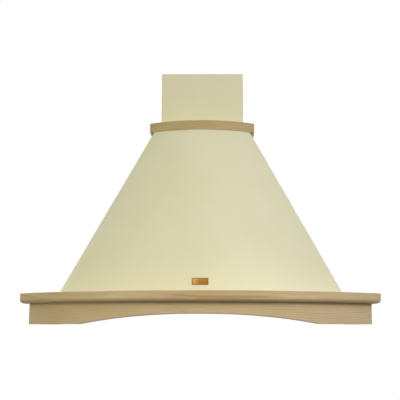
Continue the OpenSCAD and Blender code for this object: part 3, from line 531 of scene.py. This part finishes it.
def round_corner(bm, out, lead, own):
    """Rounds the upright corner at out with two flats.

    lead points out along the mitre, and own out of this board's face.
    """
    for share, still_off in ((0.25, 0.9), (0.75, 0.35)):
        way = lead.lerp(own, share).normalized()
        back = CORNER_ROUND / way.dot(lead) * (1 / lead.dot(own) - 1) * still_off
        trim(bm, (out[0] - lead.x * back, out[1] - lead.y * back, 0), way)


def mitre_end(bm, side, out, inner, own, keep):
    """Cuts one end on the mitre and rounds its outer corner.

    side is 1 on the right and -1 on the left, own the board's outward way at the right corner,
    and keep 1 for the bowed board and -1 for the side board.
    """
    lead = Vector((out[0] - inner[0], out[1] - inner[1], 0)).normalized()
    trim(bm, (side * out[0], out[1], 0), (-side * keep * lead.y, keep * lead.x, 0), MITRE_EASE)
    round_corner(bm, (side * out[0], out[1]), Vector((side * lead.x, lead.y, 0)),
                 Vector((side * own[0], own[1], 0)).normalized())


def mark_grain(obj, place, shift):
    """Keeps each point's place along, into and up the board, for the wood's pattern."""
    store = obj.data.attributes.new("grain", "FLOAT_VECTOR", "POINT")
    for i, v in enumerate(obj.data.vertices):
        along, into, up = place(v.co / MM)
        store.data[i].vector = ((along + shift) * MM, into * MM, up * MM)


def bowed_board(name, outline, radius, centre_y, out, inner, rounds, finish, node, shift,
                cuts=90, spare=25, arch=False, rear=None):
    """A front board, bent round the bow and mitred at both ends."""
    half = radius * math.asin(out[0] / radius) + spare
    bm = straight_board(outline, 2 * half, *rounds)
    bmesh.ops.translate(bm, vec=(-half, 0, 0), verts=bm.verts)
    cut_across(bm, [-half + 2 * half * i / cuts for i in range(1, cuts)])
    bend(bm, radius, centre_y)
    if arch:
        cut_arch(bm, radius, centre_y)
    for side in (1, -1):
        mitre_end(bm, side, out, inner, (out[0], out[1] - centre_y), 1)
    if rear is not None:
        trim(bm, (0, rear, 0), (0, 1, 0))

    def place(co):
        x, y = co.x, centre_y - co.y
        return math.atan2(x, y) * radius, radius - math.hypot(x, y), co.z

    mark_grain(piece(name, bm, finish, node), place, shift)


def side_board(name, sign, outline, outer_x, out, inner, rounds, finish, node, shift):
    """A board from the front corner back to the wall."""
    bm = straight_board(outline, SIDE_STOCK, *rounds)
    # along X becomes along Y, inward becomes towards the middle
    turn = Matrix(((0, -sign, 0, sign * outer_x), (-1, 0, 0, 0), (0, 0, 1, 0), (0, 0, 0, 1)))
    bmesh.ops.transform(bm, matrix=turn, verts=bm.verts)
    mitre_end(bm, sign, out, inner, (1, 0), -1)
    bmesh.ops.recalc_face_normals(bm, faces=bm.faces)
    mark_grain(piece(name, bm, finish, node),
               lambda co: (co.y, outer_x - abs(co.x), co.z), shift)


SIDES = ((-1, "left"), (1, "right"))

# Cornice shelf
shelf = board_section(MARGIN - WOOD_FIT, CORNICE_Z, FOOT_Z)
bowed_board("cornice_bow", shelf, CORNICE_R, CORNICE_CY, corner(0), corner(MARGIN),
            CORNICE_ROUNDS, beech_face, "cornice_front", shift=310)
for sign, side in SIDES:
    side_board("cornice_end_" + side, sign, shelf, CORNICE_W / 2, corner(0), corner(MARGIN),
               CORNICE_ROUNDS, beech_face, "cornice_" + side, shift=900 + 700 * sign)

# Apron
skirt = board_section(APRON_T, APRON_Z, CORNICE_Z)
apron_out, apron_in = corner(APRON_INSET), corner(APRON_INSET + APRON_T)
bowed_board("apron_bow", skirt, CORNICE_R - APRON_INSET, CORNICE_CY, apron_out, apron_in,
            APRON_ROUNDS, beech_apron, "apron_front", shift=100, cuts=120, arch=True)
for sign, side in SIDES:
    side_board("apron_end_" + side, sign, skirt, CORNICE_W / 2 - APRON_INSET, apron_out,
               apron_in, APRON_ROUNDS, beech_apron, "apron_" + side, shift=500 + 900 * sign)

# Neck ring, standing on the neck plate
ring_x, ring_r = NECK_HALF + RING_OVER, NECK_R + RING_LEAD
ring_out = (ring_x, arc_y(ring_x, ring_r, NECK_CY))
ring_in = (CHIMNEY_W / 2 + RING_SLOT, -CHIMNEY_D - RING_SLOT)
bowed_board("ring_bow", board_section(RING_STOCK, RING_Z, RING_Z + RING_H), ring_r, NECK_CY,
            ring_out, ring_in, RING_ROUNDS, beech_ring, "ring_front", shift=2300, cuts=48,
            spare=12, rear=ring_in[1])
rail = board_section(ring_x - ring_in[0], RING_Z, RING_Z + RING_H)
for sign, side in SIDES:
    side_board("ring_end_" + side, sign, rail, ring_x, ring_out, ring_in, RING_ROUNDS,
               beech_ring, "ring_" + side, shift=3300 + 400 * sign)


# Folded sheet

def plan_line(bm, half_w, radius, centre_y, z):
    """The dome's outline at one level, open at the wall: a side, the bow, a side."""
    start = bm.verts.new((half_w, arc_y(half_w, radius, centre_y), z))
    out = bmesh.ops.spin(bm, geom=[start], cent=(0, centre_y, z), axis=(0, 0, -1),
                         angle=2 * math.asin(half_w / radius), steps=DOME_STEPS, space=Matrix())
    end = points_of(out["geom_last"])[0]
    for v, side in ((start, 1), (end, -1)):
        wall = bm.verts.new((side * half_w, DOME_REAR, z))
        bm.edges.new((v, wall))
    return [e for e in bm.edges if all(abs(v.co.z - z) < NEAR for v in e.verts)]


def is_hip(edge):
    """Whether an edge runs up a corner of the dome, from foot to neck."""
    def at_corner(co):
        half = FOOT_HALF if co.z < NECK_Z / 2 else NECK_HALF
        return abs(abs(co.x) - half) < NEAR and co.y < DOME_REAR - 1

    first, last = (v.co for v in edge.verts)
    return at_corner(first) and at_corner(last) and abs(first.z - last.z) > 1


def hold_hip(bm, side):
    """Adds a loop beside a hip, on the flat side, so that the side's shading stays flat."""
    flat = [f for f in bm.faces if side * f.calc_center_median().x > 0
            and max(v.co.y for v in f.verts) > DOME_REAR - NEAR
            and max(v.co.z for v in f.verts) > NECK_Z - NEAR]
    neck_y, foot_y = arc_y(NECK_HALF, NECK_R, NECK_CY), arc_y(FOOT_HALF, FOOT_R, CORNICE_CY)
    bmesh.ops.bisect_plane(
        bm, geom=flat + list({e for f in flat for e in f.edges})
        + list({v for f in flat for v in f.verts}),
        plane_co=(side * NECK_HALF, neck_y + HIP_HOLD, NECK_Z),
        plane_no=(0, NECK_Z - FOOT_Z, foot_y - neck_y), dist=NEAR)


def spread_flange(bm):
    """Folds the skirt's lower edge out under the cornice, as far as the pan."""
    flange_r = CORNICE_R - PAN_INSET
    foot_x, foot_y = corner(MARGIN)
    far_x, far_y = corner(PAN_INSET)
    spread = math.asin(far_x / flange_r) / math.asin(foot_x / FOOT_R)
    brim = bmesh.ops.extrude_edge_only(bm, edges=rim_at(bm, "z", CORNICE_Z))
    for v in points_of(brim["geom"]):
        turn = math.atan2(v.co.x, CORNICE_CY - v.co.y)
        if abs(v.co.x) > foot_x - NEAR and v.co.y > foot_y + NEAR:
            v.co.x, v.co.y = math.copysign(far_x, v.co.x), v.co.y * far_y / foot_y
        else:
            v.co.x = min(far_x, max(-far_x, flange_r * math.sin(turn * spread)))
            v.co.y = arc_y(v.co.x, flange_r, CORNICE_CY)


# Dome
bm = bmesh.new()
foot = plan_line(bm, FOOT_HALF, FOOT_R, CORNICE_CY, FOOT_Z)
top = plan_line(bm, NECK_HALF, NECK_R, NECK_CY, NECK_Z)
bmesh.ops.bridge_loops(bm, edges=foot + top)
hips = [e for e in bm.edges if is_hip(e)]
drop = bmesh.ops.extrude_edge_only(bm, edges=rim_at(bm, "z", FOOT_Z))
bmesh.ops.translate(bm, vec=(0, 0, CORNICE_Z - FOOT_Z), verts=points_of(drop["geom"]))
bmesh.ops.recalc_face_normals(bm, faces=bm.faces)
soften(bm, hips, HIP_ROUND, BEND_CUTS)
for side in (-1, 1):
    hold_hip(bm, side)
cut_across(bm, (FOOT_Z - FOOT_HOLD, FOOT_Z + FOOT_HOLD, *DOME_LOOPS, NECK_Z - FOOT_HOLD), "z")
cut_across(bm, (DOME_REAR - FOOT_HOLD,), "y")
spread_flange(bm)
fold = bmesh.ops.extrude_edge_only(bm, edges=rim_at(bm, "y", DOME_REAR))
for v in points_of(fold["geom"]):
    v.co.x -= math.copysign(DOME_RETURN, v.co.x)
face_out(bm)
thicken(piece("dome_sheet", bm, cream, "dome_shell", sharp=50))

# Chimney cover
bm = bmesh.new()
x, front, back = CHIMNEY_W / 2, -CHIMNEY_D, -CHIMNEY_REAR
line = [(x - CHIMNEY_RETURN, back), (x, back), (x, front),
        (-x, front), (-x, back), (CHIMNEY_RETURN - x, back)]
points = [bm.verts.new((px, py, CHIMNEY_Z)) for px, py in line]
path = [bm.edges.new(pair) for pair in zip(points, points[1:])]
up = bmesh.ops.extrude_edge_only(bm, edges=path)
bmesh.ops.translate(bm, vec=(0, 0, CHIMNEY_TOP - CHIMNEY_Z), verts=points_of(up["geom"]))
soften(bm, [e for e in bm.edges if not e.is_boundary], FOLD_ROUND, BEND_CUTS)
cut_across(bm, (FOLD_HOLD - x, x - FOLD_HOLD), "x")
cut_across(bm, (front + FOLD_HOLD, back - FOLD_HOLD), "y")
cut_across(bm, (CHIMNEY_Z + END_HOLD, CHIMNEY_TOP - END_HOLD), "z")
face_out(bm)
thicken(piece("chimney_sleeve", bm, cream, "chimney_cover", "chimney",
              sharp=50))

# Bare metal plate on the dome's front
bm = bmesh.new()
bmesh.ops.create_cube(bm, size=1)
bmesh.ops.scale(bm, vec=(PLATE_W, PLATE_H, PLATE_T), verts=bm.verts)
bmesh.ops.translate(bm, vec=(0, 0, PLATE_T / 2 + PLATE_OFF), verts=bm.verts)
posts = [e for e in bm.edges if abs(e.verts[0].co.z - e.verts[1].co.z) > PLATE_T / 2]
soften(bm, posts, PLATE_CORNER, 5)
soften(bm, [e for e in bm.edges if all(v.co.z > PLATE_T * 0.9 for v in e.verts)], PLATE_EASE, 2)
face = max(bm.faces, key=lambda f: f.calc_area() * (f.normal.z > 0.9))
bmesh.ops.inset_region(bm, faces=[face], thickness=PLATE_BORDER, depth=-PLATE_SUNK)
lean = math.atan2(CORNICE_D - MARGIN - NECK_D, NECK_Z - FOOT_Z)
front_y = -(CORNICE_D - MARGIN - PLATE_RISE * math.tan(lean))
stand = Matrix.Translation((PLATE_X, front_y, FOOT_Z + PLATE_RISE)) @ Matrix.Rotation(
    math.pi / 2 - lean, 4, "X")
bmesh.ops.transform(bm, matrix=stand, verts=bm.verts)
piece("bare_plate", bm, brass, "front_plate")


# Stage

def floor_finish():
    """Pale to the camera and fading to white, darker to the light it throws back up.

    From below it is clear, so that the underside can be looked at.
    """
    m = Finish("floor_finish")
    x, y = m.split(m.place())[:2]
    far = m.between((x * x + y * y) ** 0.5, *FLOOR_FADE)
    seen = m.node("ShaderNodeLightPath", out="Is Camera Ray")
    m.set(Base_Color=m.mix(m.looked_at(), shade(72, 71, 66), shade(240, 240, 238)),
          Roughness=0.85)
    glow = m.node("ShaderNodeEmission", {}, {"Color": (1, 1, 1, 1), "Strength": 1.0})
    both = m.node("ShaderNodeMixShader", {}, {
        0: far * seen, 1: Sock(m, m.shader.outputs[0]), 2: glow})
    under = m.node("ShaderNodeNewGeometry", out="Backfacing")
    clear = m.node("ShaderNodeBsdfTransparent")
    whole = m.node("ShaderNodeMixShader", {}, {0: under * seen, 1: both, 2: clear})
    m.join(m.tree.nodes["Material Output"].inputs["Surface"], whole)
    return m.material


bm = bmesh.new()
bmesh.ops.create_circle(bm, cap_ends=True, segments=96, radius=FLOOR_R)
bmesh.ops.translate(bm, vec=(0, 0, FLOOR_Z), verts=bm.verts)
floor = as_object("floor", bm, floor_finish())

# The world: white where it is seen, soft light from above
world = bpy.data.worlds.new("studio")
bpy.context.scene.world = world
world.use_nodes = True
sky = Nodes(world.node_tree)
sky.tree.nodes.remove(sky.tree.nodes["Background"])
height = sky.split(sky.node("ShaderNodeTexCoord", out="Generated"))[2]
soft = sky.node("ShaderNodeBackground", {}, {
    "Color": (0.92, 0.99, 1.0, 1), "Strength": sky.between(height, 0, 1) * 0.80})
white = sky.node("ShaderNodeBackground", {}, {"Color": (1, 1, 1, 1), "Strength": 1.0})
whole = sky.node("ShaderNodeMixShader", {}, {0: sky.looked_at(), 1: soft, 2: white})
sky.join(sky.tree.nodes["World Output"].inputs["Surface"], whole)


def lamp(name, place, aim, size, power, colour=(1, 1, 1)):
    """A softbox at place, facing aim; metres and watts."""
    data = bpy.data.lights.new(name, "AREA")
    data.shape = "RECTANGLE"
    data.size, data.size_y = size
    data.energy = power
    data.color = colour
    obj = bpy.data.objects.new(name, data)
    obj.location = place
    obj.rotation_euler = (Vector(aim) - Vector(place)).to_track_quat("-Z", "Y").to_euler()
    obj.visible_camera = False
    bpy.context.scene.collection.objects.link(obj)


lamp("key", (1.35, -1.75, 0.95), (0, -0.2, 0.2), (1, 1), 11.9, (0.75, 0.76, 1.0))
lamp("right_low", (1.35, -1.75, 0.5), (0, -0.3, 0.2), (1, 0.8), 6.2, (0.66, 0.68, 1.0))
lamp("middle", (0.5, -2.2, 0.6), (0, -0.3, 0.2), (1, 0.8), 7.0, (1.0, 0.88, 0.4))
lamp("left_high", (-1.35, -1.75, 0.6), (0, -0.3, 0.2), (1, 0.8), 6.0, (0.80, 0.78, 0.92))
lamp("left_low", (-1.35, -1.75, 0.15), (0, -0.3, 0.2), (1, 0.8), 4.7, (1.0, 1.0, 0.80))
lamp("below", (0, 0.15, -0.7), (0, 0.15, 0), (1.2, 0.4), 2.8)
lamp("back", (0.6, 2.4, 1.2), (0, 0, 0.25), (1.8, 1.4), 40)
lamp("left_back", (-2.2, 1.5, 0.6), (-0.3, -0.1, 0.25), (1.4, 1.2), 14)

# The camera stands where the photograph was taken from, as its outlines tell
camera = bpy.data.cameras.new("camera")
camera.lens = 70.406
camera.sensor_width = 36
camera.shift_x = -0.05637
camera.clip_end = 60
eye = bpy.data.objects.new("camera", camera)
eye.location = (0.05513, -2.28411, -0.042)
eye.rotation_euler = (math.radians(90 + 9.139), 0, 0)
bpy.context.scene.collection.objects.link(eye)
bpy.context.scene.camera = eye
bpy.context.scene.view_settings.view_transform = "Standard"
